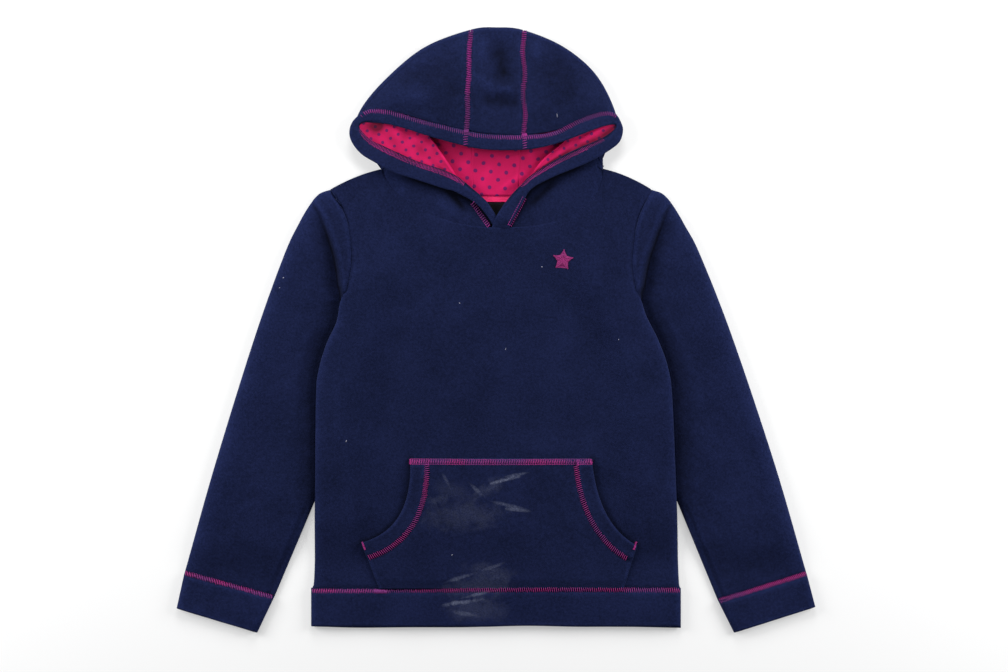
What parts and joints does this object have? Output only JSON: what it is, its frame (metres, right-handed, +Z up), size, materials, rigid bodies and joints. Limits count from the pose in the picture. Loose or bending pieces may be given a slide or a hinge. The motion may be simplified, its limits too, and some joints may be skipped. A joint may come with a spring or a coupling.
{
  "type": "pullover hoodie",
  "caption": "Child's fleece pullover hoodie laid flat, with a lined hood, kangaroo pocket, waistband, cuffs and long sleeves.",
  "frame": {"origin": "bottom centre of the laid garment's bounding box, on the surface that it lies on", "axes": "+Z up from the surface out of the front of the garment, +Y towards the crown of the hood, +X towards the viewer's right"},
  "size_m": [0.6692, 0.634, 0.0225],
  "materials": {
    "fleece": "matte navy micro fleece with a short nap",
    "lining": "bright pink jersey with small purple polka dots",
    "thread": "pink polyester sewing and embroidery thread",
    "label": "black woven satin, left bare"
  },
  "bodies": {
    "root": {"front_panel": "fleece", "back_panel": "fleece", "sleeve_left": "fleece", "sleeve_right": "fleece", "cuff_left": "fleece", "cuff_right": "fleece", "waistband": "fleece", "pocket": "fleece", "star": "thread", "hood_hem": "fleece", "hood_left": "fleece", "hood_centre": "fleece", "hood_right": "fleece", "hood_lining_left": "lining", "hood_lining_centre": "lining", "hood_lining_right": "lining", "neck_tape": "lining", "neck_label": "label"}
  },
  "joints": []
}
